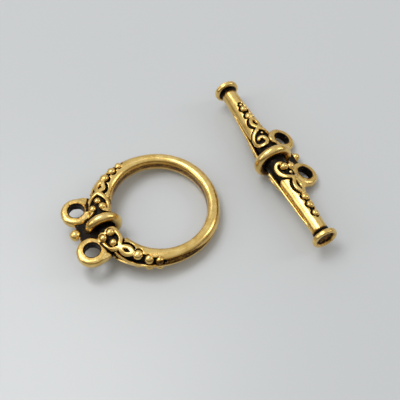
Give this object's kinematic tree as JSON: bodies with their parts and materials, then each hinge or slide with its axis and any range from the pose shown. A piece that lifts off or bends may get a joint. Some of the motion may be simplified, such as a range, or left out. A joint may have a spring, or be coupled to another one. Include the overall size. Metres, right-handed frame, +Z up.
{
  "type": "toggle clasp",
  "caption": "Cast toggle clasp for a stranded bracelet or necklace: an oval ring with a hooped collar, and a tapered bar that passes through it, both with heart scrolls, beads and strand loops.",
  "frame": {"origin": "centre of the bounding box at the level of the surface that both halves lie on", "axes": "+X along the longest side, from the ring half to the bar half; +Y away from the viewer; +Z up from the surface"},
  "size_m": [0.032, 0.0248, 0.005],
  "materials": {
    "cast_metal": "antique gold, satin on the crests and nearly black in the recesses"
  },
  "bodies": {
    "root": {"toggle_ring": "cast_metal", "toggle_bar": "cast_metal"}
  },
  "joints": []
}
